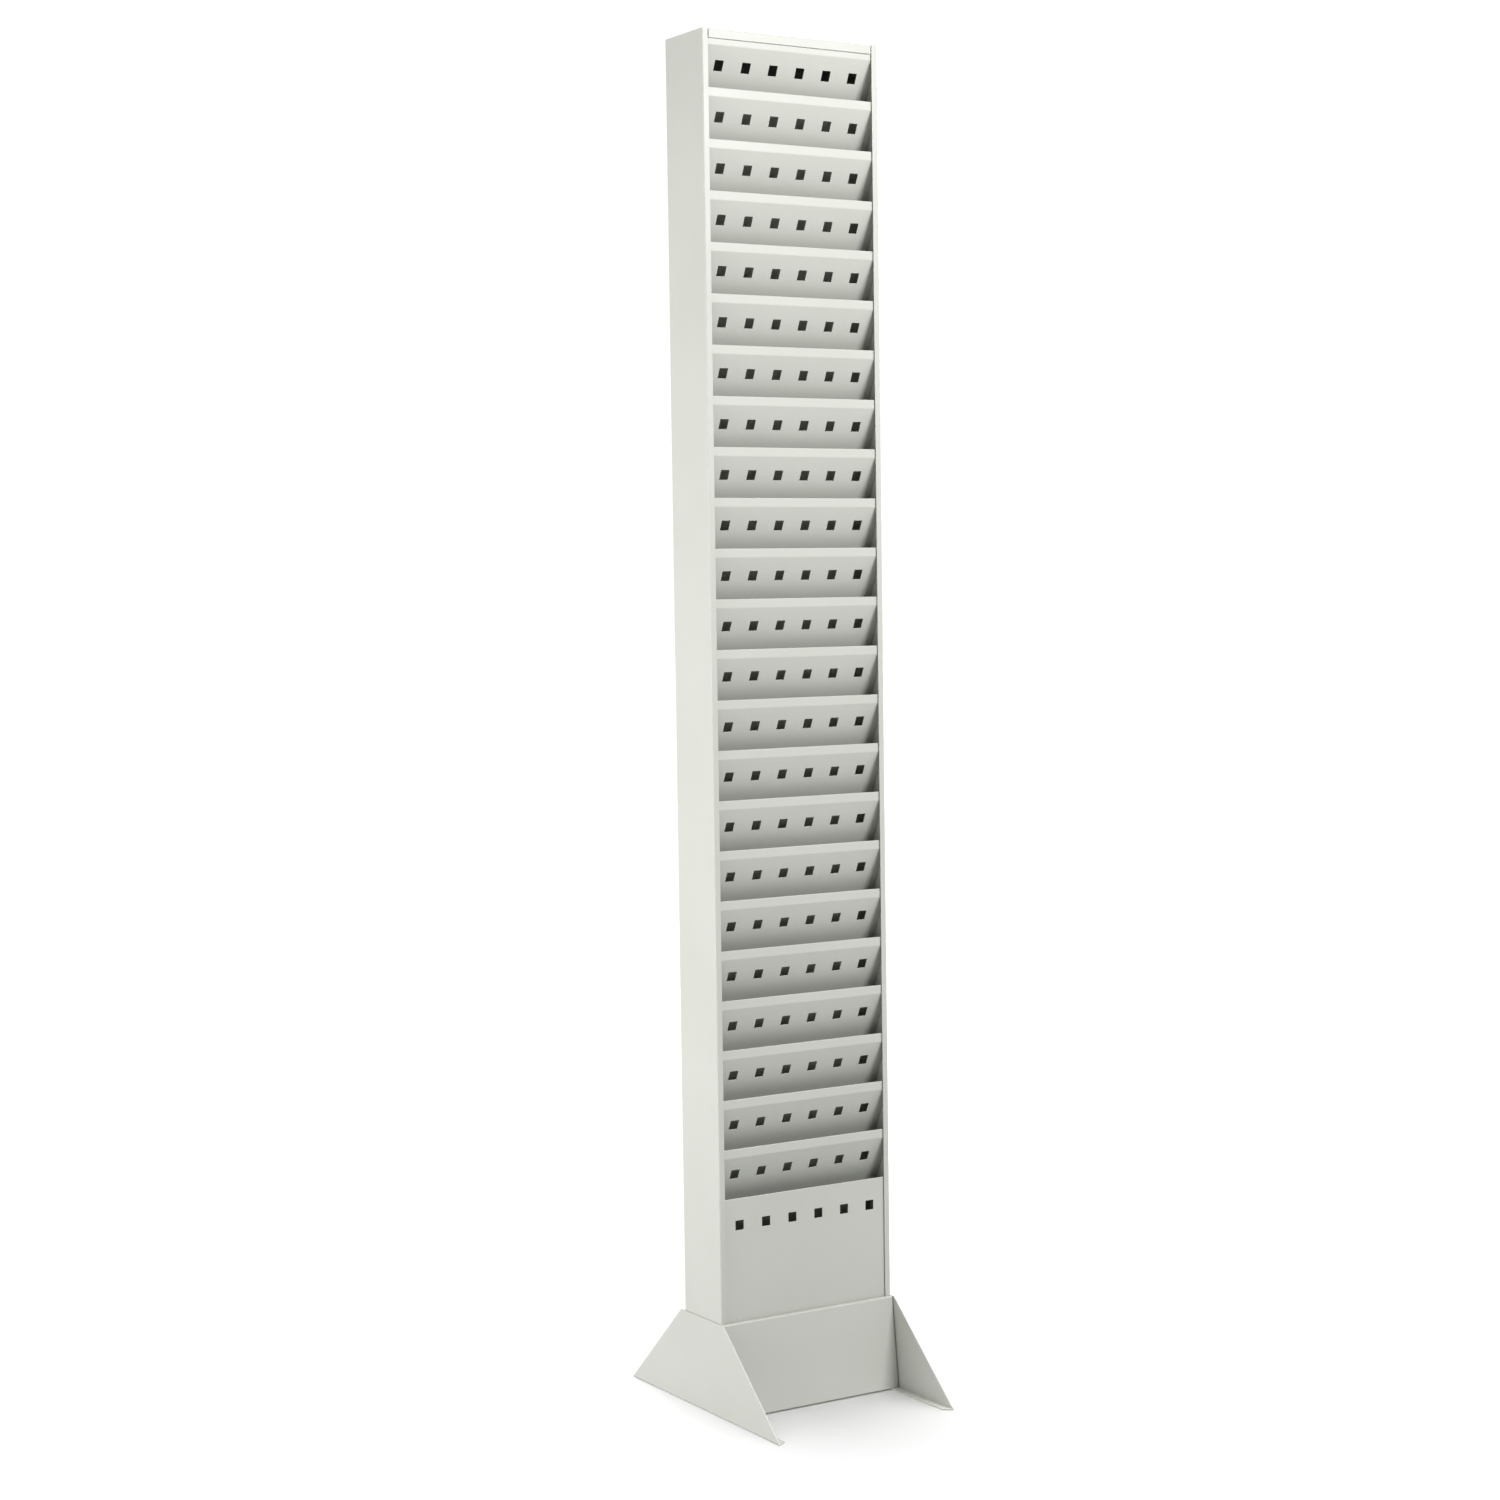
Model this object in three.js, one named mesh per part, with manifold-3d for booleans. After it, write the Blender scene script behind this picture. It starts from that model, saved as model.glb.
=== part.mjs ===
// Newspaper and magazine rack: a tall, narrow sheet-steel tower with 23 sloping pockets, standing
// in a splayed floor base. Millimetres, +Z up, front faces -Y, +X to the right seen from the front.
// The origin is on the floor, below the middle of the whole object.

import * as THREE from 'three';
import { mergeVertices } from 'three/addons/utils/BufferGeometryUtils.js';
import Module from 'manifold-3d';

const wasm = await Module();
wasm.setup();

// ---- Driving dimensions -------------------------------------------------------------------------

const GAP = 0.3; // clearance between pieces that touch
const SHEET = 0.9; // body and base sheet
const FOOT_SHEET = 1.5; // heavier sheet of the two feet

const BODY_WIDTH = 254;
const BODY_DEPTH = 89.2;
const BODY_BOTTOM = 38; // the base carries the body this far above the floor
const BODY_TOP = 1701.6;

const FLANGE = 8; // turned-in front and rear edges of the side panels
const TOP_FLANGE = 11; // turned-down front and rear edges of the top panel
const TOP_SEAM = 1; // open seam between those edges and the side panels' edges
const TRAY_FLANGE = 12; // turned-up edges of the bottom panel

const POCKETS = 23;
const PITCH = 61.83; // height from one pocket lip to the next
const FIRST_LIP = 1693.9; // top edge of the highest lip
const LIP_SETBACK = 1.9; // lips stand this far behind the body's front face
const LIP_HEIGHT = 11;
const HEM_HEIGHT = 9; // the lip's top edge is folded back on itself this far
const PLATE_SLOPE = THREE.MathUtils.degToRad(24.5); // from the vertical
const TAB_HEIGHT = 10; // upright tab that joins a pocket plate to the back panel

const HOLES = 6;
const HOLE_SIZE = 12;
const HOLE_PITCH = 38.9;
const HOLE_DROP = 33.7; // hole centre below the lip's top edge

const BASE_HEIGHT = 117;
const FOOT_TOP_OVERHANG = 7; // foot beyond the body's front and back faces, at its top edge
const FOOT_TOE = 135.2; // the same, on the floor
const FOOT_FLANGE = 12.5; // turned-in floor flange of a foot
const FLANGE_MITRE = 9; // its inner edge is this much shorter at each end
const SKIRT_TOP_OFFSET = 5; // base front and rear plates stand off the body by this at the top
const SKIRT_BOTTOM_OFFSET = 17.5; // and by this at the floor

const SCREW_INSET_X = 112;
const SCREW_INSET_Y = 27;
const SCREW_RADIUS = 3;
const SCREW_HEAD_RADIUS = 5.5;
const SCREW_HEAD_HEIGHT = 4;
const NUT_RADIUS = 6;
const NUT_HEIGHT = 5;

const KEYHOLE_RADIUS = 5;
const KEYHOLE_SLOT = 5;
const KEYHOLE_RISE = 11;
const KEYHOLE_X = 76.2;
const KEYHOLE_HEIGHTS = [330, 1560];

// ---- Places that follow from them ----------------------------------------------------------------

const HALF_WIDTH = BODY_WIDTH / 2;
const FRONT = -BODY_DEPTH / 2;
const BACK = BODY_DEPTH / 2;
const INSIDE = HALF_WIDTH - SHEET - GAP; // half width of the pieces between the side panels
const BETWEEN_FLANGES = HALF_WIDTH - FLANGE - TOP_SEAM;
const BACK_PANEL_OUT = BACK - SHEET - GAP;
const BACK_PANEL_IN = BACK_PANEL_OUT - SHEET;
const LIP_FRONT = FRONT + LIP_SETBACK;
const LIP_BACK = LIP_FRONT + SHEET;
const FOOT_IN = HALF_WIDTH + GAP;
const FOOT_OUT = FOOT_IN + FOOT_SHEET;
const BASE_INSIDE = HALF_WIDTH; // half width of the base pieces between the feet
const ABOVE_FLOOR_FLANGE = FOOT_SHEET + GAP;
const SHELF_TOP = BODY_BOTTOM - GAP;
const CUT = 20; // cutters reach this far past what they cut

// ---- Materials -------------------------------------------------------------------------------------

const bodyCoat = new THREE.MeshStandardMaterial({ color: 0xd6d9d0, roughness: 0.5, metalness: 0.0 });
const pocketCoat = new THREE.MeshStandardMaterial({ color: 0xcfd3ca, roughness: 0.5, metalness: 0.0 });
const baseCoat = new THREE.MeshStandardMaterial({ color: 0xd3d6cd, roughness: 0.5, metalness: 0.0 });
const zincPlate = new THREE.MeshStandardMaterial({ color: 0xb4b8bb, roughness: 0.35, metalness: 0.9 });

// ---- Solids ----------------------------------------------------------------------------------------

function solidFrom(geometry) {
  const bare = geometry.index ? geometry.toNonIndexed() : geometry.clone();
  bare.deleteAttribute('normal');
  bare.deleteAttribute('uv');
  const welded = mergeVertices(bare, 1e-4);
  return new wasm.Manifold(new wasm.Mesh({
    numProp: 3,
    vertProperties: new Float32Array(welded.attributes.position.array),
    triVerts: new Uint32Array(welded.index.array),
  }));
}

function geometryFrom(solid) {
  const mesh = solid.getMesh();
  const geometry = new THREE.BufferGeometry();
  geometry.setAttribute('position', new THREE.BufferAttribute(mesh.vertProperties, 3));
  geometry.setIndex(new THREE.BufferAttribute(mesh.triVerts, 1));
  const faceted = geometry.toNonIndexed();
  faceted.computeVertexNormals();
  return faceted;
}

function block(x0, x1, y0, y1, z0, z1) {
  const box = new THREE.BoxGeometry(x1 - x0, y1 - y0, z1 - z0);
  box.translate((x0 + x1) / 2, (y0 + y1) / 2, (z0 + z1) / 2);
  return solidFrom(box);
}

// A profile of [y, z] points, swept along X from x0 to x1.
function swept(profile, x0, x1) {
  const shape = new THREE.Shape(profile.map(([y, z]) => new THREE.Vector2(y, z)));
  const geometry = new THREE.ExtrudeGeometry(shape, { depth: x1 - x0, bevelEnabled: false });
  const turn = new THREE.Matrix4().makeBasis(
    new THREE.Vector3(0, 1, 0),
    new THREE.Vector3(0, 0, 1),
    new THREE.Vector3(1, 0, 0),
  );
  geometry.applyMatrix4(turn);
  geometry.translate(x0, 0, 0);
  return solidFrom(geometry);
}

// An upright prism or rod, from z0 to z1.
function rod(x, y, radius, z0, z1, sides) {
  const geometry = new THREE.CylinderGeometry(radius, radius, z1 - z0, sides);
  geometry.rotateX(Math.PI / 2);
  geometry.translate(x, y, (z0 + z1) / 2);
  return solidFrom(geometry);
}

function joined(pieces) {
  return pieces.reduce((sum, piece) => sum.add(piece));
}

function without(solid, cutters) {
  return cutters.reduce((rest, cutter) => rest.subtract(cutter), solid);
}

function mirroredX(solid) {
  return solid.mirror([1, 0, 0]);
}

function mirroredY(solid) {
  return solid.mirror([0, 1, 0]);
}

// ---- Body ------------------------------------------------------------------------------------------

// A shallow channel: the side itself, with a narrow edge turned in at the front and at the back.
function rightSidePanel() {
  const web = block(HALF_WIDTH - SHEET, HALF_WIDTH, FRONT, BACK, BODY_BOTTOM, BODY_TOP);
  const edgeIn = HALF_WIDTH - FLANGE;
  const frontEdge = block(edgeIn, HALF_WIDTH, FRONT, FRONT + SHEET, BODY_BOTTOM, BODY_TOP);
  const rearEdge = block(edgeIn, HALF_WIDTH, BACK - SHEET, BACK, BODY_BOTTOM, BODY_TOP);
  return joined([web, frontEdge, rearEdge]);
}

function keyhole(x, z) {
  const round = rod(x, 0, KEYHOLE_RADIUS, -CUT, CUT, 16);
  const upright = round.rotate([90, 0, 0]);
  const placed = upright.translate([0, BACK_PANEL_OUT, z]);
  const half = KEYHOLE_SLOT / 2;
  const slot = block(x - half, x + half, BACK_PANEL_IN - CUT, BACK_PANEL_OUT + CUT, z, z + KEYHOLE_RISE);
  return placed.add(slot);
}

// The flat back, behind the pockets and inside the side panels' rear edges, with wall-hanging keyholes.
function backPanel() {
  const sheet = block(-INSIDE, INSIDE, BACK_PANEL_IN, BACK_PANEL_OUT, BODY_BOTTOM, BODY_TOP - SHEET - GAP);
  const cutters = [];
  for (const z of KEYHOLE_HEIGHTS) {
    cutters.push(keyhole(-KEYHOLE_X, z), keyhole(KEYHOLE_X, z));
  }
  return without(sheet, cutters);
}

// The cap. Its turned-down edges fill the space between the side panels' turned-in edges.
function topPanel() {
  const under = BODY_TOP - SHEET;
  const lid = block(-INSIDE, INSIDE, FRONT + SHEET + GAP, BACK_PANEL_OUT, under, BODY_TOP);
  const tongue = block(-BETWEEN_FLANGES, BETWEEN_FLANGES, FRONT, BACK, under, BODY_TOP);
  const edgeBottom = BODY_TOP - TOP_FLANGE;
  const frontEdge = block(-BETWEEN_FLANGES, BETWEEN_FLANGES, FRONT, FRONT + SHEET, edgeBottom, BODY_TOP);
  const rearEdge = block(-BETWEEN_FLANGES, BETWEEN_FLANGES, BACK - SHEET, BACK, edgeBottom, BODY_TOP);
  return joined([lid, tongue, frontEdge, rearEdge]);
}

// The floor of the lowest pocket: a tray with its four edges turned up.
function bottomPanel() {
  const front = LIP_BACK + GAP;
  const rear = BACK_PANEL_IN - GAP;
  const top = BODY_BOTTOM + TRAY_FLANGE;
  const outer = block(-INSIDE, INSIDE, front, rear, BODY_BOTTOM, top);
  const inner = block(-INSIDE + SHEET, INSIDE - SHEET, front + SHEET, rear - SHEET, BODY_BOTTOM + SHEET, top + CUT);
  return without(outer, [inner, ...screwHoles(BODY_BOTTOM - CUT, BODY_BOTTOM + CUT)]);
}

// The lip's outline: the front sheet with its top edge folded back to a double thickness.
function lipBack(lipTop) {
  return [
    [LIP_BACK, lipTop - HEM_HEIGHT],
    [LIP_BACK + SHEET, lipTop - HEM_HEIGHT],
    [LIP_BACK + SHEET, lipTop],
    [LIP_FRONT, lipTop],
  ];
}

function holeCutters(lipTop) {
  const half = HOLE_SIZE / 2;
  const z = lipTop - HOLE_DROP;
  const cutters = [];
  for (let i = 0; i < HOLES; i += 1) {
    const x = (i - (HOLES - 1) / 2) * HOLE_PITCH;
    cutters.push(block(x - half, x + half, FRONT, FRONT + 2 * CUT, z - half, z + half));
  }
  return cutters;
}

// One pocket plate: an upright lip, a long slope down to the back panel, and an upright tab there.
function pocketPlate(lipTop) {
  const run = Math.tan(PLATE_SLOPE);
  const tabBack = BACK_PANEL_IN - GAP;
  const tabFront = tabBack - SHEET;
  const bendZ = lipTop - LIP_HEIGHT;
  const thicknessY = SHEET / Math.cos(PLATE_SLOPE);
  const kneeZ = bendZ + (thicknessY - SHEET) / run;
  const frontEndZ = bendZ - (tabFront - LIP_FRONT) / run;
  const backEndZ = bendZ - (tabBack - LIP_FRONT - thicknessY) / run;
  const profile = [
    [LIP_FRONT, bendZ],
    [tabFront, frontEndZ],
    [tabFront, frontEndZ - TAB_HEIGHT],
    [tabBack, frontEndZ - TAB_HEIGHT],
    [tabBack, backEndZ],
    [LIP_BACK, kneeZ],
    ...lipBack(lipTop),
  ];
  return without(swept(profile, -INSIDE, INSIDE), holeCutters(lipTop));
}

// The flat front below the slopes; it closes the lowest pocket.
function bottomFrontPanel() {
  const lipTop = FIRST_LIP - POCKETS * PITCH;
  const profile = [[LIP_FRONT, BODY_BOTTOM], [LIP_BACK, BODY_BOTTOM], ...lipBack(lipTop)];
  return without(swept(profile, -INSIDE, INSIDE), holeCutters(lipTop));
}

// ---- Base ------------------------------------------------------------------------------------------

// A splayed upright sheet with a mitred flange turned in along the floor.
function rightFoot() {
  const upright = swept([
    [FRONT - FOOT_TOE, 0],
    [BACK + FOOT_TOE, 0],
    [BACK + FOOT_TOP_OVERHANG, BASE_HEIGHT],
    [FRONT - FOOT_TOP_OVERHANG, BASE_HEIGHT],
  ], FOOT_IN, FOOT_OUT);
  const half = BACK + FOOT_TOE;
  const outline = new THREE.Shape([
    new THREE.Vector2(FOOT_OUT, -half),
    new THREE.Vector2(FOOT_OUT, half),
    new THREE.Vector2(FOOT_IN, half),
    new THREE.Vector2(FOOT_OUT - FOOT_FLANGE, half - FLANGE_MITRE),
    new THREE.Vector2(FOOT_OUT - FOOT_FLANGE, -half + FLANGE_MITRE),
    new THREE.Vector2(FOOT_IN, -half),
  ]);
  const flange = solidFrom(new THREE.ExtrudeGeometry(outline, { depth: FOOT_SHEET, bevelEnabled: false }));
  const rise = BASE_HEIGHT / (FOOT_TOE - FOOT_TOP_OVERHANG);
  const envelope = swept([
    [-half, 0],
    [half, 0],
    [half - 2 * CUT, 2 * CUT * rise],
    [-half + 2 * CUT, 2 * CUT * rise],
  ], FOOT_OUT - FOOT_FLANGE - CUT, FOOT_OUT + CUT);
  return upright.add(flange.intersect(envelope));
}

// Closes the base between the feet, leaning out towards the floor. Its narrow top edge turns back to
// the body and reaches in between the side panels' edges, up to the panel there, whose outer face is
// at panelY. A gusset tab at each end takes the welds to the feet.
function basePlate(panelY) {
  const topY = FRONT - SKIRT_TOP_OFFSET;
  const bottomY = FRONT - SKIRT_BOTTOM_OFFSET;
  const bottomZ = ABOVE_FLOOR_FLANGE;
  const bodyY = FRONT - GAP;
  const edgeUnder = BASE_HEIGHT - SHEET;
  const sheet = swept([
    [bottomY, bottomZ],
    [bottomY + SHEET, bottomZ],
    [topY + SHEET, edgeUnder],
    [bodyY, edgeUnder],
    [bodyY, BASE_HEIGHT],
    [topY, BASE_HEIGHT],
  ], -BASE_INSIDE, BASE_INSIDE);
  const tongue = block(-BETWEEN_FLANGES, BETWEEN_FLANGES, bodyY - SHEET, panelY - GAP, edgeUnder, BASE_HEIGHT);
  const tabOutline = [[bottomY, bottomZ], [bodyY, bottomZ], [bodyY, BASE_HEIGHT], [topY, BASE_HEIGHT]];
  const rightTab = swept(tabOutline, BASE_INSIDE - SHEET, BASE_INSIDE);
  return joined([sheet, tongue, rightTab, mirroredX(rightTab)]);
}

// A shelf welded between the feet; the body stands on it and is screwed down to it from below.
function baseShelf() {
  const deck = block(-BASE_INSIDE, BASE_INSIDE, FRONT, BACK, SHELF_TOP - SHEET, SHELF_TOP);
  const leg = block(BASE_INSIDE - SHEET, BASE_INSIDE, FRONT, BACK, ABOVE_FLOOR_FLANGE, SHELF_TOP);
  const edgeBottom = SHELF_TOP - TRAY_FLANGE;
  const frontEdge = block(-BASE_INSIDE, BASE_INSIDE, FRONT, FRONT + SHEET, edgeBottom, SHELF_TOP);
  const pieces = [deck, leg, mirroredX(leg), frontEdge, mirroredY(frontEdge)];
  return without(joined(pieces), screwHoles(SHELF_TOP - CUT, SHELF_TOP + CUT));
}

// ---- Fasteners -------------------------------------------------------------------------------------

const screwPlaces = [
  ['left_front', -SCREW_INSET_X, -SCREW_INSET_Y],
  ['left_rear', -SCREW_INSET_X, SCREW_INSET_Y],
  ['right_front', SCREW_INSET_X, -SCREW_INSET_Y],
  ['right_rear', SCREW_INSET_X, SCREW_INSET_Y],
];

function screwHoles(z0, z1) {
  return screwPlaces.map(([, x, y]) => rod(x, y, SCREW_RADIUS + GAP, z0, z1, 12));
}

// A hexagon-head screw, put in from below.
function bodyScrew(x, y) {
  const headTop = SHELF_TOP - SHEET - GAP;
  const tip = BODY_BOTTOM + SHEET + GAP + NUT_HEIGHT;
  const head = rod(x, y, SCREW_HEAD_RADIUS, headTop - SCREW_HEAD_HEIGHT, headTop, 6);
  return head.add(rod(x, y, SCREW_RADIUS, headTop - SCREW_HEAD_HEIGHT / 2, tip, 12));
}

// The nut that it turns into, on the floor of the lowest pocket.
function weldNut(x, y) {
  const bottom = BODY_BOTTOM + SHEET + GAP;
  const hexagon = rod(x, y, NUT_RADIUS, bottom, bottom + NUT_HEIGHT, 6);
  return hexagon.subtract(rod(x, y, SCREW_RADIUS + GAP, bottom - CUT, bottom + CUT, 12));
}

// ---- Assembly --------------------------------------------------------------------------------------

function named(name, solid, material) {
  const mesh = new THREE.Mesh(geometryFrom(solid), material);
  mesh.name = name;
  return mesh;
}

const body = new THREE.Group();
body.name = 'rack_body';
body.add(named('left_side_panel', mirroredX(rightSidePanel()), bodyCoat));
body.add(named('right_side_panel', rightSidePanel(), bodyCoat));
body.add(named('back_panel', backPanel(), bodyCoat));
body.add(named('top_panel', topPanel(), bodyCoat));
body.add(named('bottom_panel', bottomPanel(), bodyCoat));
body.add(named('bottom_front_panel', bottomFrontPanel(), bodyCoat));

const pockets = new THREE.Group();
pockets.name = 'pocket_plates';
for (let i = 0; i < POCKETS; i += 1) {
  const plate = named(`pocket_plate_${String(i + 1).padStart(2, '0')}`, pocketPlate(0), pocketCoat);
  plate.position.z = FIRST_LIP - i * PITCH;
  pockets.add(plate);
}

const base = new THREE.Group();
base.name = 'floor_base';
base.add(named('left_foot', mirroredX(rightFoot()), baseCoat));
base.add(named('right_foot', rightFoot(), baseCoat));
base.add(named('base_front_plate', basePlate(LIP_FRONT), baseCoat));
base.add(named('base_rear_plate', mirroredY(basePlate(-BACK_PANEL_OUT)), baseCoat));
base.add(named('base_shelf', baseShelf(), baseCoat));
for (const [place, x, y] of screwPlaces) {
  base.add(named(`body_screw_${place}`, bodyScrew(x, y), zincPlate));
  base.add(named(`weld_nut_${place}`, weldNut(x, y), zincPlate));
}

const rack = new THREE.Group();
rack.name = 'newspaper_rack';
rack.add(body, pockets, base);

export default rack;
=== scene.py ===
"""Looks of the newspaper rack: folded, hemmed and punched sheet steel under a pale grey powder coat.

Lengths are in metres, +Z is up and the open front faces -Y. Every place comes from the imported
frame's nodes. Each visible sheet is its outer skin, folded with real bend radii and then thickened.
"""

import math

import bmesh
import bpy
from mathutils import Matrix, Vector


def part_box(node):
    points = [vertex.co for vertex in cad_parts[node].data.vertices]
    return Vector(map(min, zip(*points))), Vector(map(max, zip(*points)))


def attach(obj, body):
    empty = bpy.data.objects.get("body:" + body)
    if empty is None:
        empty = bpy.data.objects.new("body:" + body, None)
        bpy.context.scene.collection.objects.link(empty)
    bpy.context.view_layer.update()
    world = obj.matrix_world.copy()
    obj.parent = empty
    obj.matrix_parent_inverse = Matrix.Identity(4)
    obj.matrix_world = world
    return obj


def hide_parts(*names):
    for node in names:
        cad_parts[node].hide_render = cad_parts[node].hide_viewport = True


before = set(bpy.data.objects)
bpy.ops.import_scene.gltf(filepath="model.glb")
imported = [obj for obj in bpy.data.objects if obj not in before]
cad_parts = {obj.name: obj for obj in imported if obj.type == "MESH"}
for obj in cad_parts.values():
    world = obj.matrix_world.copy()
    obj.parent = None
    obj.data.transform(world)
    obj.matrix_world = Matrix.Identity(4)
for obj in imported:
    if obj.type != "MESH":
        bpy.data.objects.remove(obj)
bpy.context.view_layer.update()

# ---- Sizes that the frame doesn't give ---------------------------------------------------------

SHEET = 0.0009
FOOT_SHEET = 0.0015
BEND = 0.0016  # outer radius of a fold
SOFT_BEND = 0.004  # the gentle bend from a lip to its slope
FOOT_BEND = FOOT_SHEET + 0.0005
CUT_EDGE = 0.00016  # rounding that the coating gives a cut edge
FASTENER_EDGE = 0.0003
SHARP_ANGLE = math.radians(50)  # an edge that turns further than this is rounded
SAME_POINT = 1e-6
ARC_STEPS = 5

LIP_HEIGHT = 0.011
HEM_HEIGHT = 0.009
HEM_WIDTH = 2 * SHEET + 0.0001  # two leaves and the hair of space between them
HEM_BEND = HEM_WIDTH / 2 - SAME_POINT  # a little under half, so that the two arcs stay apart
TAB_HEIGHT = 0.010  # the upright foot of a pocket plate, welded to the back panel
SIDE_EDGE = 0.008  # width of a side panel's turned-in edges
EDGE_SEAM = 0.001  # between a side panel's turned-in edge and the sheet beside it
GAP = 0.0003  # clearance between neighbouring pieces

HOLES = 6
HOLE_SIZE = 0.012
HOLE_PITCH = 0.0389
HOLE_DROP = 0.0337  # from a lip's top edge to the middle of its holes

FOOT_SPLAY_TOP = 0.007  # how far a foot's top edge runs past the body, front and rear
FOOT_FLANGE_MITRE = 0.009  # how much further the floor flange's outer edge runs than its inner one
SKIRT_TOP_OFFSET = 0.005  # from the shelf's edge out to a base plate's top fold

KEYHOLE_RADIUS = 0.005
KEYHOLE_SLOT = 0.005  # width of the slot
KEYHOLE_RISE = 0.011  # from the round hole's middle to the slot's end
KEYHOLE_X = 0.0762  # from the rack's middle plane
KEYHOLE_HEIGHTS = (0.330, 1.560)

# A spot weld's mark: its places across the back, its size, and its section from the middle out.
WELD_COLUMNS = (-0.108, -0.036, 0.036, 0.108)
WELD_RADIUS = 0.0033
WELD_RISE = 0.00012
WELD_PROFILE = ((0.35, 0.2), (0.6, 0.35), (0.8, 1.0), (0.9, 0.8), (1.0, -0.3))  # shares of both

POCKET_PLATES = sorted(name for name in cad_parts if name.startswith("pocket_plate_"))


def added(name, data):
    """A new object in the scene."""
    thing = bpy.data.objects.new(name, data)
    bpy.context.scene.collection.objects.link(thing)
    return thing


# ---- Camera ------------------------------------------------------------------------------------

CAMERA_PLACE = Vector((-1.882, -2.975, 1.036))
CAMERA_YAW = math.radians(31.68)  # to the right of straight ahead
CAMERA_PITCH = math.radians(-3.46)
CAMERA_ROLL = math.radians(-0.81)
CAMERA_LENS = 67.2


def add_camera():
    data = bpy.data.cameras.new("camera")
    data.lens = CAMERA_LENS
    data.sensor_width = 36
    data.clip_start = 0.05
    data.clip_end = 100
    camera = added("camera", data)
    upright = Matrix.Rotation(-CAMERA_YAW, 4, "Z") @ Matrix.Rotation(math.pi / 2 + CAMERA_PITCH, 4, "X")
    camera.matrix_world = Matrix.Translation(CAMERA_PLACE) @ upright @ Matrix.Rotation(CAMERA_ROLL, 4, "Z")
    bpy.context.scene.camera = camera


# ---- Materials ---------------------------------------------------------------------------------

COAT_LIGHT = (0.520, 0.529, 0.493)
COAT_DARK = (0.498, 0.507, 0.471)
ZINC_LIGHT = (0.66, 0.67, 0.68)
ZINC_DARK = (0.50, 0.52, 0.55)


def new_material(name):
    material = bpy.data.materials.new(name)
    material.use_nodes = True
    return material, material.node_tree.nodes["Principled BSDF"]


def noise(tree, place, scale, detail):
    texture = tree.nodes.new("ShaderNodeTexNoise")
    texture.inputs["Scale"].default_value = scale
    texture.inputs["Detail"].default_value = detail
    tree.links.new(place, texture.inputs["Vector"])
    return texture.outputs["Fac"]


def remap(tree, value, low, high):
    """The middle of the value's range, 0.3 to 0.7, stretched to low and high and held beyond them."""
    ramp = tree.nodes.new("ShaderNodeMapRange")
    ramp.inputs["From Min"].default_value = 0.3
    ramp.inputs["From Max"].default_value = 0.7
    ramp.inputs["To Min"].default_value = low
    ramp.inputs["To Max"].default_value = high
    tree.links.new(value, ramp.inputs["Value"])
    return ramp.outputs["Result"]


def bump(tree, height, depth, strength, normal=None):
    node = tree.nodes.new("ShaderNodeBump")
    node.inputs["Distance"].default_value = depth
    node.inputs["Strength"].default_value = strength
    tree.links.new(height, node.inputs["Height"])
    if normal is not None:
        tree.links.new(normal, node.inputs["Normal"])
    return node.outputs["Normal"]


def mixed_colour(tree, factor, colour_a, colour_b):
    mix = tree.nodes.new("ShaderNodeMix")
    mix.data_type = "RGBA"
    tree.links.new(factor, mix.inputs["Factor"])
    mix.inputs["A"].default_value = (*colour_a, 1)
    mix.inputs["B"].default_value = (*colour_b, 1)
    return mix.outputs["Result"]


def powder_coat(name):
    """Satin polyester powder coat: fine orange peel over sheet that isn't perfectly flat."""
    material, shader = new_material(name)
    tree = material.node_tree
    place = tree.nodes.new("ShaderNodeTexCoord").outputs["Object"]
    cloud = remap(tree, noise(tree, place, scale=5.0, detail=3.0), 0, 1)
    tree.links.new(mixed_colour(tree, cloud, COAT_DARK, COAT_LIGHT), shader.inputs["Base Color"])
    patches = noise(tree, place, scale=14.0, detail=2.0)
    tree.links.new(remap(tree, patches, 0.40, 0.48), shader.inputs["Roughness"])
    shader.inputs["IOR"].default_value = 1.5
    waves = bump(tree, noise(tree, place, scale=7.0, detail=0.0), depth=0.0008, strength=0.5)
    grain = noise(tree, place, scale=650.0, detail=1.0)
    peel = bump(tree, grain, depth=0.00005, strength=0.6, normal=waves)
    tree.links.new(peel, shader.inputs["Normal"])
    return material


def zinc_plate(name):
    """Bright zinc on the hidden fasteners: a fine grain and a slightly mottled shine."""
    material, shader = new_material(name)
    tree = material.node_tree
    place = tree.nodes.new("ShaderNodeTexCoord").outputs["Object"]
    mottle = remap(tree, noise(tree, place, scale=400.0, detail=3.0), 0, 1)
    tree.links.new(mixed_colour(tree, mottle, ZINC_DARK, ZINC_LIGHT), shader.inputs["Base Color"])
    tree.links.new(remap(tree, mottle, 0.24, 0.40), shader.inputs["Roughness"])
    shader.inputs["Metallic"].default_value = 1.0
    grain = noise(tree, place, scale=2500.0, detail=2.0)
    tree.links.new(bump(tree, grain, depth=0.00002, strength=0.5), shader.inputs["Normal"])
    return material


body_coat = powder_coat("body_coat")
pocket_coat = powder_coat("pocket_coat")
base_coat = powder_coat("base_coat")
zinc = zinc_plate("zinc")


# ---- Folded sheet ------------------------------------------------------------------------------


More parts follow.
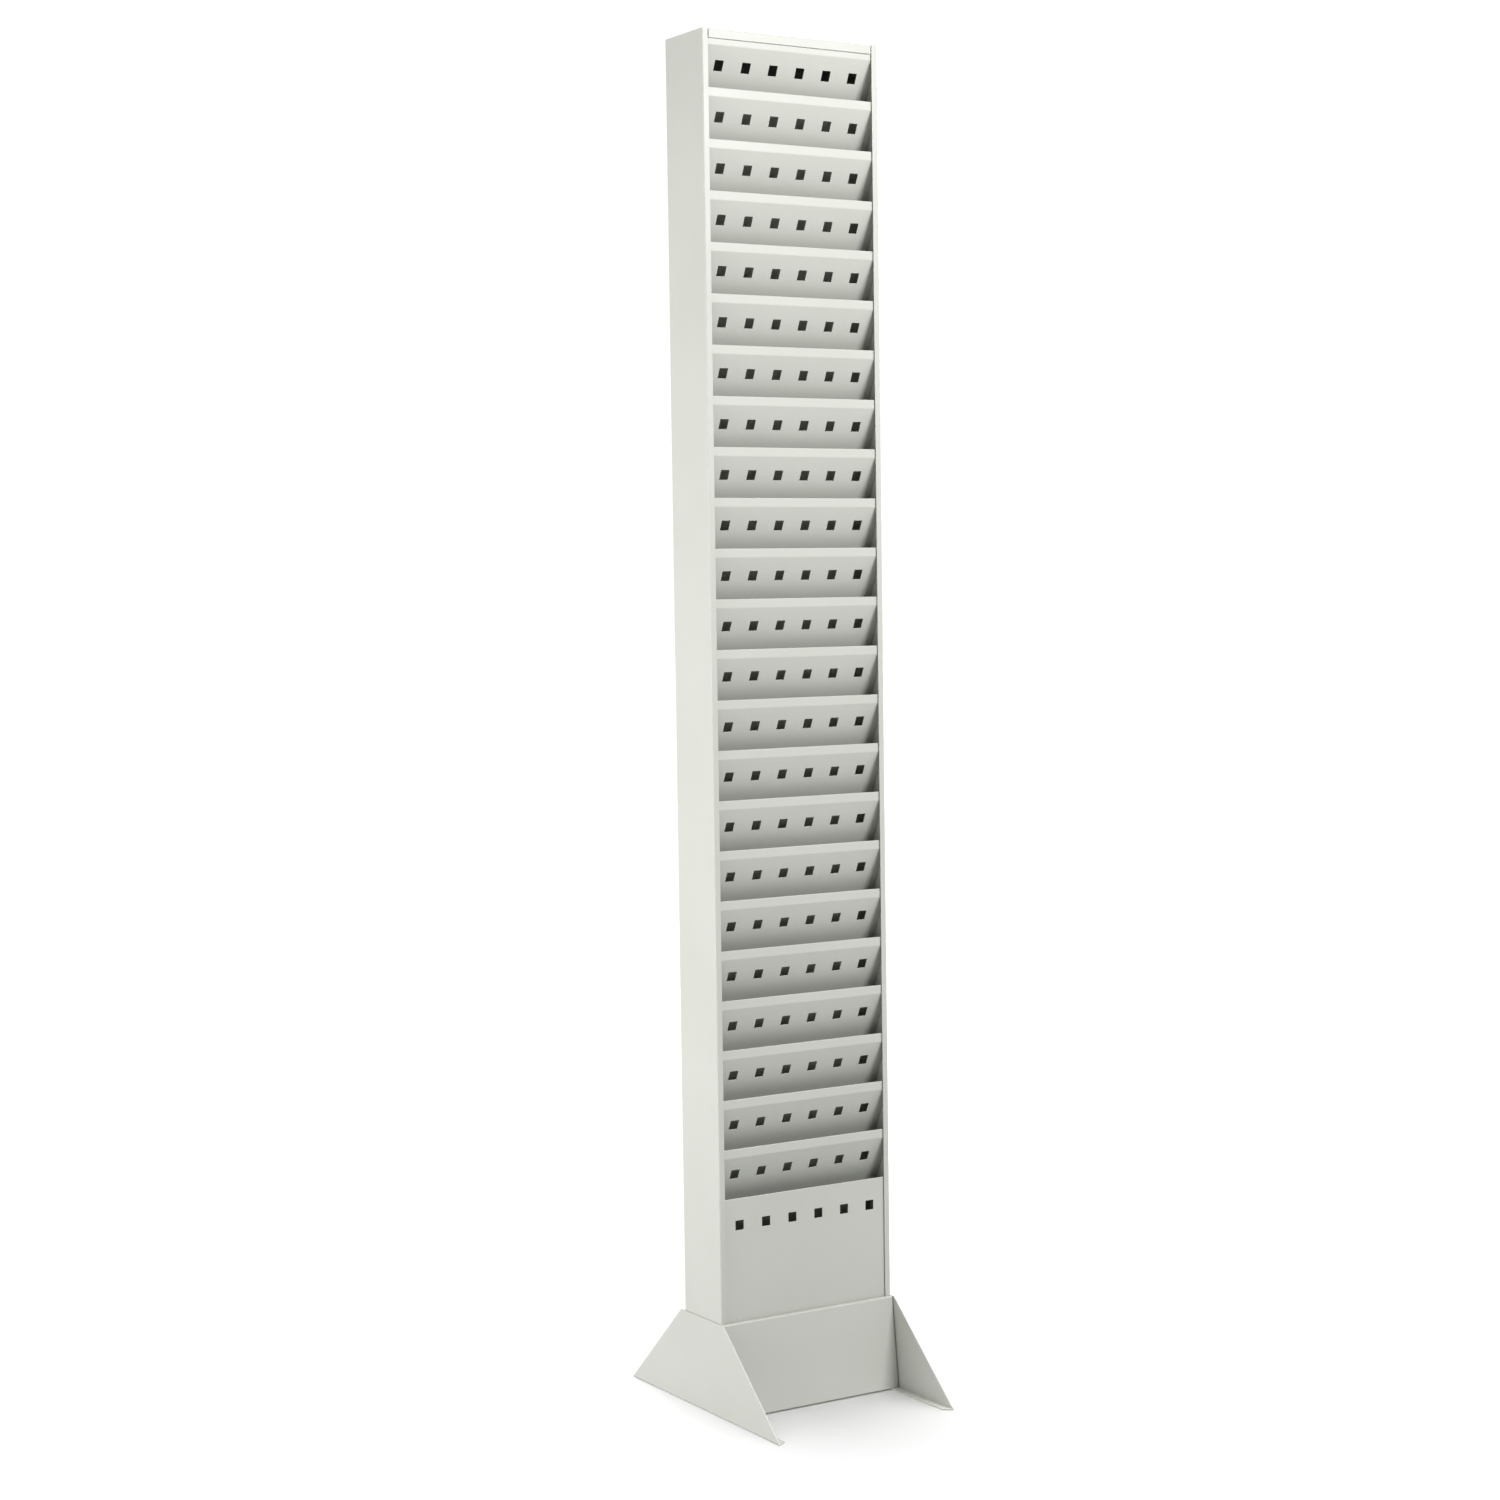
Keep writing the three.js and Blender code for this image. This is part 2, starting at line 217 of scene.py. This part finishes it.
def bent(corners):
    """An open 2-D path from (u, v, radius) corners, each corner turned into an arc of its radius."""
    path = [Vector(corners[0][:2])]
    for before, corner, after in zip(corners, corners[1:], corners[2:]):
        here, radius = Vector(corner[:2]), corner[2]
        if radius == 0:
            path.append(here)
            continue
        back = (Vector(before[:2]) - here).normalized()
        on = (Vector(after[:2]) - here).normalized()
        half = back.angle(on) / 2
        centre = here + (back + on).normalized() * (radius / math.sin(half))
        spoke = here + back * (radius / math.tan(half)) - centre
        last = here + on * (radius / math.tan(half)) - centre
        turn = math.atan2(spoke.x * last.y - spoke.y * last.x, spoke.dot(last))
        for step in range(ARC_STEPS + 1):
            path.append(centre + Matrix.Rotation(turn * step / ARC_STEPS, 2) @ spoke)
    path.append(Vector(corners[-1][:2]))
    return path


def swept_skin(name, path, columns, place, is_open=None):
    """The path repeated at each column. place(point, column) gives the 3-D point, and cells where
    is_open(point, column) is true at their middle are left out."""
    work = bmesh.new()
    rows = [[work.verts.new(place(point, column)) for column in columns] for point in path]
    for i, (low, high) in enumerate(zip(path, path[1:])):
        for j, (left, right) in enumerate(zip(columns, columns[1:])):
            if is_open and is_open((low + high) / 2, (left + right) / 2):
                continue
            work.faces.new((rows[i][j], rows[i + 1][j], rows[i + 1][j + 1], rows[i][j + 1]))
    return skin_object(name, work)


def turn_towards(work, outward):
    """Turns all the faces over where the first one looks away from outward."""
    work.normal_update()
    work.faces.ensure_lookup_table()
    if work.faces[0].normal.dot(Vector(outward)) < 0:
        bmesh.ops.reverse_faces(work, faces=work.faces)


def folded_skin(name, faces, radius, outward):
    """Flat faces that share edges, with a bend of that radius wherever two of them meet."""
    work = bmesh.new()
    for corners in faces:
        work.faces.new([work.verts.new(corner) for corner in corners])
    bmesh.ops.remove_doubles(work, verts=work.verts, dist=SAME_POINT)
    bmesh.ops.recalc_face_normals(work, faces=work.faces)
    turn_towards(work, outward)
    folds = [edge for edge in work.edges if len(edge.link_faces) == 2]
    bmesh.ops.bevel(work, geom=folds, offset=radius, segments=ARC_STEPS, profile=0.5, affect="EDGES")
    return skin_object(name, work)


def skin_object(name, work):
    loose = [vertex for vertex in work.verts if not vertex.link_faces]
    bmesh.ops.delete(work, geom=loose, context="VERTS")
    mesh = bpy.data.meshes.new(name)
    work.to_mesh(mesh)
    work.free()
    mesh.shade_smooth()
    return added(name, mesh)


def mirrored(skin, name):
    """The same skin on the other side of the rack's middle plane."""
    mesh = skin.data.copy()
    mesh.transform(Matrix.Scale(-1, 4, (1, 0, 0)))
    mesh.flip_normals()
    return added(name, mesh)


def round_edges(piece, width):
    rounding = piece.modifiers.new("rounded_edges", "BEVEL")
    rounding.width = width
    rounding.segments = 2
    rounding.limit_method = "ANGLE"
    rounding.angle_limit = SHARP_ANGLE
    shading = piece.modifiers.new("flat_faces_stay_flat", "WEIGHTED_NORMAL")
    shading.keep_sharp = True


def thicken(skin, thickness):
    wall = skin.modifiers.new("sheet", "SOLIDIFY")
    wall.thickness = thickness
    wall.offset = -1
    wall.use_even_offset = True
    round_edges(skin, CUT_EDGE)


def settled(piece):
    """Turns the piece's modifiers into plain mesh."""
    depsgraph = bpy.context.evaluated_depsgraph_get()
    mesh = bpy.data.meshes.new_from_object(piece.evaluated_get(depsgraph))
    piece.modifiers.clear()
    piece.data = mesh


def stands_for(piece, node, material):
    piece.data.materials.clear()
    piece.data.materials.append(material)
    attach(piece, "root")
    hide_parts(node)


# ---- Side panels and top panel -----------------------------------------------------------------


def make_side_panels():
    low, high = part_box("right_side_panel")
    edge = high.x - SIDE_EDGE
    path = bent([
        (edge, low.y, 0),
        (high.x, low.y, BEND),
        (high.x, high.y, BEND),
        (edge, high.y, 0),
    ])
    right = swept_skin("right_side_sheet", path, (low.z, high.z), lambda p, z: (p.x, p.y, z))
    left = mirrored(right, "left_side_sheet")
    for skin, node in ((right, "right_side_panel"), (left, "left_side_panel")):
        thicken(skin, SHEET)
        stands_for(skin, node, body_coat)


def make_top_panel():
    low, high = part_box("top_panel")
    side_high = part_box("right_side_panel")[1]
    back_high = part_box("back_panel")[1]
    tongue = side_high.x - SIDE_EDGE - EDGE_SEAM
    front_step = low.y + 2 * BEND
    rear_step = back_high.y - BEND
    path = bent([
        (high.y, low.z, 0),
        (high.y, high.z, BEND),
        (rear_step, high.z, 0),
        (front_step, high.z, 0),
        (low.y, high.z, BEND),
        (low.y, low.z, 0),
    ])
    columns = (low.x, -tongue, tongue, high.x)

    def beside_tongue(point, column):
        return abs(column) > tongue and not front_step < point.x < rear_step

    skin = swept_skin("top_sheet", path, columns, lambda p, x: (x, p.x, p.y), beside_tongue)
    thicken(skin, SHEET)
    stands_for(skin, "top_panel", body_coat)


# ---- Pocket plates and the flat front ----------------------------------------------------------


def hole_columns(low_x, high_x):
    columns = [low_x]
    for i in range(HOLES):
        centre = (i - (HOLES - 1) / 2) * HOLE_PITCH
        columns += [centre - HOLE_SIZE / 2, centre + HOLE_SIZE / 2]
    return columns + [high_x]


def in_hole(height):
    """A test for whether a grid cell, known by its middle, is a punched hole at that height."""
    def test(point, column):
        from_centre = abs((column / HOLE_PITCH + HOLES / 2) % 1 - 0.5) * HOLE_PITCH
        inside_row = abs(column) < HOLES / 2 * HOLE_PITCH
        return inside_row and from_centre < HOLE_SIZE / 2 and abs(point.y - height) < HOLE_SIZE / 2
    return test


def hem(front, top):
    """The lip's folded top edge, from the inner leaf's lower end over the top to the front face."""
    return [
        (front + HEM_WIDTH, top - HEM_HEIGHT, 0),
        (front + HEM_WIDTH, top, HEM_BEND),
        (front, top, HEM_BEND),
    ]


def make_pocket_sheet(name, low, high):
    """A whole pocket plate, from the lip's hem down the punched slope to the welded tab."""
    bend_z = high.z - LIP_HEIGHT
    foot_y = high.y - SHEET
    foot_z = low.z + TAB_HEIGHT
    slope = (foot_y - low.y) / (bend_z - foot_z)
    hole_z = high.z - HOLE_DROP

    def on_slope(z):
        return (low.y + (bend_z - z) * slope, z, 0)

    path = bent([
        *hem(low.y, high.z),
        (low.y, bend_z, SOFT_BEND),
        on_slope(hole_z + HOLE_SIZE / 2),
        on_slope(hole_z - HOLE_SIZE / 2),
        (foot_y, foot_z, SOFT_BEND),
        (foot_y, low.z, 0),
    ])
    columns = hole_columns(low.x, high.x)
    sheet = swept_skin(name, path, columns, lambda p, x: (x, p.x, p.y), in_hole(hole_z))
    thicken(sheet, SHEET)
    settled(sheet)
    return sheet


def make_pocket_plates():
    low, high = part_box(POCKET_PLATES[0])
    first = make_pocket_sheet("pocket_sheet_01", low, high)
    for number, node in enumerate(POCKET_PLATES, start=1):
        piece = first
        if number > 1:
            mesh = first.data.copy()
            mesh.transform(Matrix.Translation((0, 0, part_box(node)[1].z - high.z)))
            piece = added(f"pocket_sheet_{number:02d}", mesh)
        stands_for(piece, node, pocket_coat)


def make_bottom_front_panel():
    low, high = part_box("bottom_front_panel")
    hole_z = high.z - HOLE_DROP
    path = bent([
        *hem(low.y, high.z),
        (low.y, hole_z + HOLE_SIZE / 2, 0),
        (low.y, hole_z - HOLE_SIZE / 2, 0),
        (low.y, low.z, 0),
    ])
    columns = hole_columns(low.x, high.x)
    skin = swept_skin("bottom_front_sheet", path, columns, lambda p, x: (x, p.x, p.y), in_hole(hole_z))
    thicken(skin, SHEET)
    stands_for(skin, "bottom_front_panel", body_coat)


# ---- Back panel --------------------------------------------------------------------------------


def keyhole_outline(x, z):
    """A round hole with a slot above it, as a loop of (x, z) points."""
    round_steps = 16
    end_steps = 8
    half = KEYHOLE_SLOT / 2
    opening = math.asin(half / KEYHOLE_RADIUS)
    loop = []
    for step in range(round_steps + 1):
        angle = math.pi / 2 + opening + step / round_steps * (2 * math.pi - 2 * opening)
        loop.append((x + KEYHOLE_RADIUS * math.cos(angle), z + KEYHOLE_RADIUS * math.sin(angle)))
    for step in range(end_steps + 1):
        angle = step / end_steps * math.pi
        loop.append((x + half * math.cos(angle), z + KEYHOLE_RISE - half + half * math.sin(angle)))
    return loop


def loop_edges(work, points):
    corners = [work.verts.new(point) for point in points]
    return [work.edges.new(pair) for pair in zip(corners, corners[1:] + corners[:1])]


def pierced_skin(name, low, high):
    """A flat skin at high.y that faces +Y and has the four keyholes in it."""
    outlines = [((low.x, low.z), (high.x, low.z), (high.x, high.z), (low.x, high.z))]
    for z in KEYHOLE_HEIGHTS:
        outlines += [keyhole_outline(-KEYHOLE_X, z), keyhole_outline(KEYHOLE_X, z)]
    work = bmesh.new()
    edges = []
    for outline in outlines:
        edges += loop_edges(work, [(x, high.y, z) for x, z in outline])
    bmesh.ops.triangle_fill(work, use_beauty=True, use_dissolve=False, edges=edges)
    turn_towards(work, (0, 1, 0))
    return skin_object(name, work)


def weld_mark(work, x, y, z):
    """The shallow ring that a spot weld leaves, closed below the surface, facing +Y."""
    sides = 16
    rings = []
    for reach, rise in WELD_PROFILE:
        across = reach * WELD_RADIUS
        ring = []
        for step in range(sides):
            angle = 2 * math.pi * step / sides
            point = (x + across * math.cos(angle), y + rise * WELD_RISE, z + across * math.sin(angle))
            ring.append(work.verts.new(point))
        rings.append(ring)
    for inner, outer in zip(rings, rings[1:]):
        for k in range(sides):
            after = (k + 1) % sides
            work.faces.new((inner[k], inner[after], outer[after], outer[k]))
    work.faces.new(list(reversed(rings[0])))
    work.faces.new(rings[-1])


def make_back_panel():
    low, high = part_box("back_panel")
    panel = pierced_skin("back_sheet", low, high)
    thicken(panel, SHEET)
    settled(panel)
    work = bmesh.new()
    work.from_mesh(panel.data)
    for node in POCKET_PLATES:
        weld_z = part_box(node)[0].z + TAB_HEIGHT / 2
        for x in WELD_COLUMNS:
            weld_mark(work, x, high.y, weld_z)
    work.to_mesh(panel.data)
    work.free()
    panel.data.shade_smooth()
    stands_for(panel, "back_panel", body_coat)


# ---- Base --------------------------------------------------------------------------------------


def make_feet():
    low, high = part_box("right_foot")
    body_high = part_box("right_side_panel")[1]
    top_half = body_high.y + FOOT_SPLAY_TOP
    toe_half = high.y

    def half_length(point):
        if point.y > low.z:
            share = (point.y - low.z) / (high.z - low.z)
            return toe_half + (top_half - toe_half) * share
        return toe_half - FOOT_FLANGE_MITRE * (high.x - point.x) / (high.x - low.x)

    path = bent([(high.x, high.z, 0), (high.x, low.z, FOOT_BEND), (low.x, low.z, 0)])
    right = swept_skin("right_foot_sheet", path, (-1, 1), lambda p, side: (p.x, side * half_length(p), p.y))
    left = mirrored(right, "left_foot_sheet")
    for skin, node in ((right, "right_foot"), (left, "left_foot")):
        thicken(skin, FOOT_SHEET)
        stands_for(skin, node, base_coat)


def make_base_plate(node, name, facing):
    """Front (facing -1) or rear (facing 1) plate: the leaning sheet, its top edge and its end tabs."""
    low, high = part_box(node)
    deck_low, deck_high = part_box("base_shelf")
    side_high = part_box("right_side_panel")[1]
    outer, reach = (high.y, low.y) if facing > 0 else (low.y, high.y)
    top_y = (deck_high.y if facing > 0 else deck_low.y) + facing * SKIRT_TOP_OFFSET
    body = facing * (side_high.y + GAP)
    tongue = side_high.x - SIDE_EDGE - EDGE_SEAM

    def tab(x):
        return [(x, outer, low.z), (x, body, low.z), (x, body, high.z), (x, top_y, high.z)]

    sheet = [
        (-high.x, outer, low.z), (high.x, outer, low.z),
        (high.x, top_y, high.z), (-high.x, top_y, high.z),
    ]
    edge_outline = [
        (-high.x, top_y), (high.x, top_y), (high.x, body), (tongue, body),
        (tongue, reach), (-tongue, reach), (-tongue, body), (-high.x, body),
    ]
    edge = [(x, y, high.z) for x, y in edge_outline]
    skin = folded_skin(name, [sheet, edge, tab(-high.x), tab(high.x)], BEND, (0, facing, 0))
    thicken(skin, SHEET)
    stands_for(skin, node, base_coat)


# ---- Hidden pieces that keep their CAD shape ---------------------------------------------------


def dress_node(node, material, rounding):
    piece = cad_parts[node]
    piece.data.materials.clear()
    piece.data.materials.append(material)
    weld = piece.modifiers.new("shared_corners", "WELD")
    weld.merge_threshold = SAME_POINT
    round_edges(piece, rounding)


def dress_hidden_nodes():
    dress_node("bottom_panel", body_coat, CUT_EDGE)
    dress_node("base_shelf", base_coat, CUT_EDGE)
    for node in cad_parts:
        if node.startswith(("body_screw_", "weld_nut_")):
            dress_node(node, zinc, FASTENER_EDGE)


# ---- Stage -------------------------------------------------------------------------------------

FLOOR_SIZE = 60
FLOOR_WHITE = (0.95, 0.95, 0.95, 1)
FLOOR_LIGHT = 0.85  # what reaches the rack from below the horizon, in place of the floor's bounce
ROOM_LIGHT = 0.15  # what reaches it from above the horizon
HORIZON = 0.05  # half the height over which the two blend, where straight up is 1
BACKDROP_WHITE = 1.05  # what the camera sees
PICTURE_GAMMA = 0.85


def aimed(name, data, place, target):
    light = added(name, data)
    light.visible_camera = False
    light.location = place
    light.rotation_euler = (Vector(target) - Vector(place)).to_track_quat("-Z", "Y").to_euler()
    return light


def add_area_light(name, place, target, size, power):
    data = bpy.data.lights.new(name, "AREA")
    data.shape = "RECTANGLE"
    data.size, data.size_y = size
    data.energy = power
    return aimed(name, data, place, target)


def add_sky_light(name, place, strength, spread):
    """Even light from a wide patch of sky around that direction, the same all over the floor."""
    data = bpy.data.lights.new(name, "SUN")
    data.energy = strength
    data.angle = math.radians(spread)
    return aimed(name, data, place, (0, 0, 0))


def keep_off(light, thing):
    """The light, as if shaded by a flag, doesn't reach that thing."""
    spared = bpy.data.collections.new(f"{light.name}_spares")
    spared.objects.link(thing)
    spared.collection_objects[0].light_linking.link_state = "EXCLUDE"
    light.light_linking.receiver_collection = spared


def add_floor():
    bpy.ops.mesh.primitive_plane_add(size=FLOOR_SIZE)
    floor = bpy.context.object
    floor.name = "floor"
    material, shader = new_material("floor")
    shader.inputs["Base Color"].default_value = FLOOR_WHITE
    shader.inputs["Roughness"].default_value = 0.9
    shader.inputs["Specular IOR Level"].default_value = 0.1
    floor.data.materials.append(material)
    floor.visible_diffuse = False  # FLOOR_LIGHT stands in for what it would bounce onto the rack
    return floor


def white_background(tree, strength):
    node = tree.nodes.new("ShaderNodeBackground")
    node.inputs["Color"].default_value = (1, 1, 1, 1)
    node.inputs["Strength"].default_value = strength
    return node.outputs["Background"]


def mixed_shader(tree, factor, shader_a, shader_b):
    mix = tree.nodes.new("ShaderNodeMixShader")
    tree.links.new(factor, mix.inputs["Fac"])
    tree.links.new(shader_a, mix.inputs[1])
    tree.links.new(shader_b, mix.inputs[2])
    return mix.outputs["Shader"]


def add_world():
    """A white backdrop whose light on the rack is weaker than it looks: some from the floor's side,
    little from the room above, as on a stage lit by softboxes."""
    world = bpy.data.worlds.new("world")
    world.use_nodes = True
    tree = world.node_tree
    tree.nodes.remove(tree.nodes["Background"])
    heading = tree.nodes.new("ShaderNodeSeparateXYZ")
    tree.links.new(tree.nodes.new("ShaderNodeTexCoord").outputs["Generated"], heading.inputs["Vector"])
    upward = tree.nodes.new("ShaderNodeMapRange")
    upward.inputs["From Min"].default_value = -HORIZON
    upward.inputs["From Max"].default_value = HORIZON
    tree.links.new(heading.outputs["Z"], upward.inputs["Value"])
    below = white_background(tree, FLOOR_LIGHT)
    above = white_background(tree, ROOM_LIGHT)
    light = mixed_shader(tree, upward.outputs["Result"], below, above)
    seen = tree.nodes.new("ShaderNodeLightPath").outputs["Is Camera Ray"]
    look = mixed_shader(tree, seen, light, white_background(tree, BACKDROP_WHITE))
    tree.links.new(look, tree.nodes["World Output"].inputs["Surface"])
    bpy.context.scene.world = world


def add_lights(floor):
    add_sky_light("overhead", place=(0.3, 1.0, 2.8), strength=3.9, spread=80)
    side = add_area_light("side", place=(-1.8, 0.15, 0.8), target=(0, 0, 0.8), size=(1.2, 2.0), power=37)
    front = add_area_light("front", place=(0.8, -2.6, 2.4), target=(0, 0, 0.9), size=(1.2, 1.2), power=94)
    rear = add_area_light("rear", place=(1.9, 1.5, 1.2), target=(0, 0, 0.9), size=(1.4, 2.0), power=24)
    for lamp in (side, rear, front):
        keep_off(lamp, floor)


def add_stage():
    floor = add_floor()
    add_world()
    view = bpy.context.scene.view_settings
    view.view_transform = "Standard"
    view.gamma = PICTURE_GAMMA
    add_lights(floor)


add_camera()
make_side_panels()
make_top_panel()
make_pocket_plates()
make_bottom_front_panel()
make_back_panel()
make_feet()
make_base_plate("base_front_plate", "base_front_sheet", -1)
make_base_plate("base_rear_plate", "base_rear_sheet", 1)
dress_hidden_nodes()
add_stage()
